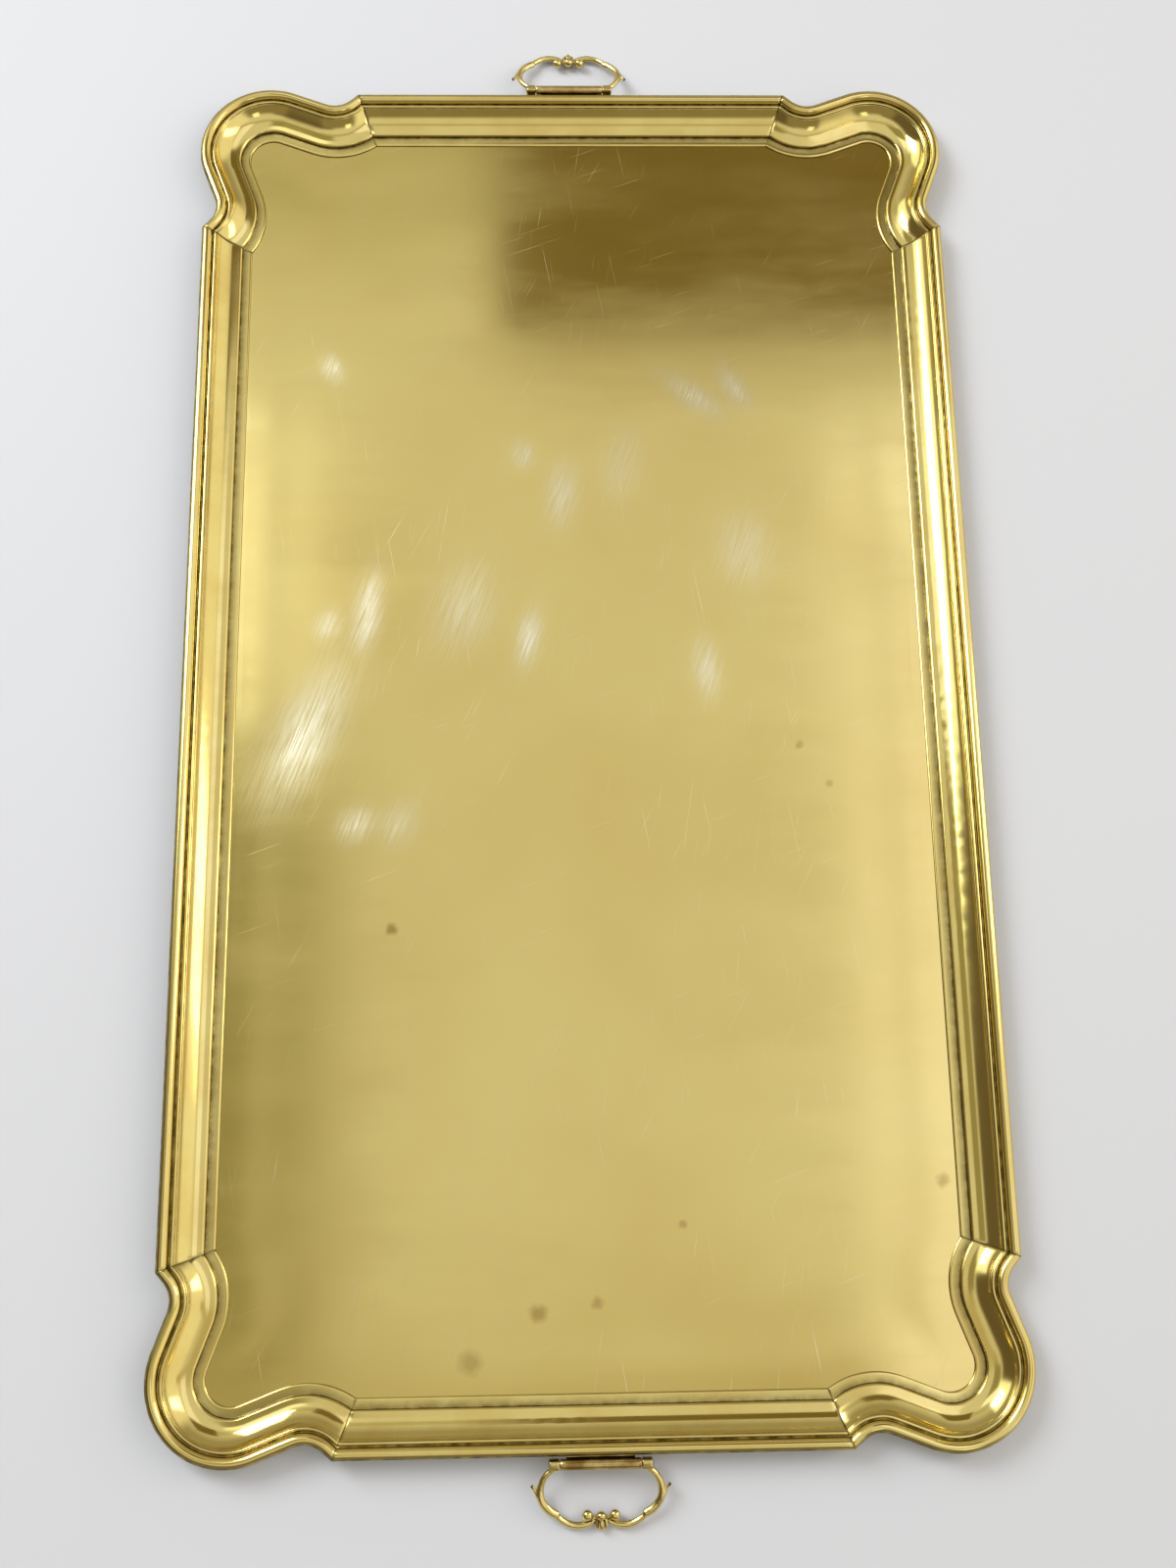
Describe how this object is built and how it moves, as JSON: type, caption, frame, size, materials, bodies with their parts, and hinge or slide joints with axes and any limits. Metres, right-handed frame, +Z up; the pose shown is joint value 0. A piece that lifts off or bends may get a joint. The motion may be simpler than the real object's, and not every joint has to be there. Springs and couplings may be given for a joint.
{
  "type": "serving tray",
  "caption": "Rectangular brass serving tray with a moulded border, scrolled corners and a hinged cast bail at each short end.",
  "frame": {"origin": "centre of the tray, on the flat surface it stands on", "axes": "+Z up, +Y along the length towards the far bail, +X to the right"},
  "size_m": [0.446, 0.848, 0.0151],
  "materials": {
    "sheet_brass": "polished sheet, worn to a soft satin with fine hand-polishing scratches",
    "border_brass": "polished, with dark tarnish left in the grooves and mitres",
    "drawn_wire": "drawn, unpolished",
    "hinge_brass": "rolled strip, lightly tarnished",
    "cast_brass": "cast, polished on the high places, dark in the hollows"
  },
  "bodies": {
    "tray": {"base_sheet": "sheet_brass", "rim_left": "border_brass", "rim_right": "border_brass", "rim_near": "border_brass", "rim_far": "border_brass", "corner_near_left": "border_brass", "corner_near_right": "border_brass", "corner_far_left": "border_brass", "corner_far_right": "border_brass", "wire_left": "drawn_wire", "wire_right": "drawn_wire", "wire_near": "drawn_wire", "wire_far": "drawn_wire", "wire_near_left": "drawn_wire", "wire_near_right": "drawn_wire", "wire_far_left": "drawn_wire", "wire_far_right": "drawn_wire", "hinge_leaf_near": "hinge_brass", "hinge_leaf_far": "hinge_brass"},
    "near_bail": {"bail_near": "cast_brass", "hinge_pin_near": "drawn_wire"},
    "far_bail": {"bail_far": "cast_brass", "hinge_pin_far": "drawn_wire"}
  },
  "joints": [
    {"name": "near_bail_swing", "type": "hinge", "parent": "tray", "child": "near_bail", "pos_m": [0.003, -0.3914, 0.012], "axis": [-1, 0, 0], "range_deg": [-105, 145]},
    {"name": "far_bail_swing", "type": "hinge", "parent": "tray", "child": "far_bail", "pos_m": [-0.0015, 0.3914, 0.012], "axis": [1, 0, 0], "range_deg": [-105, 145]}
  ]
}
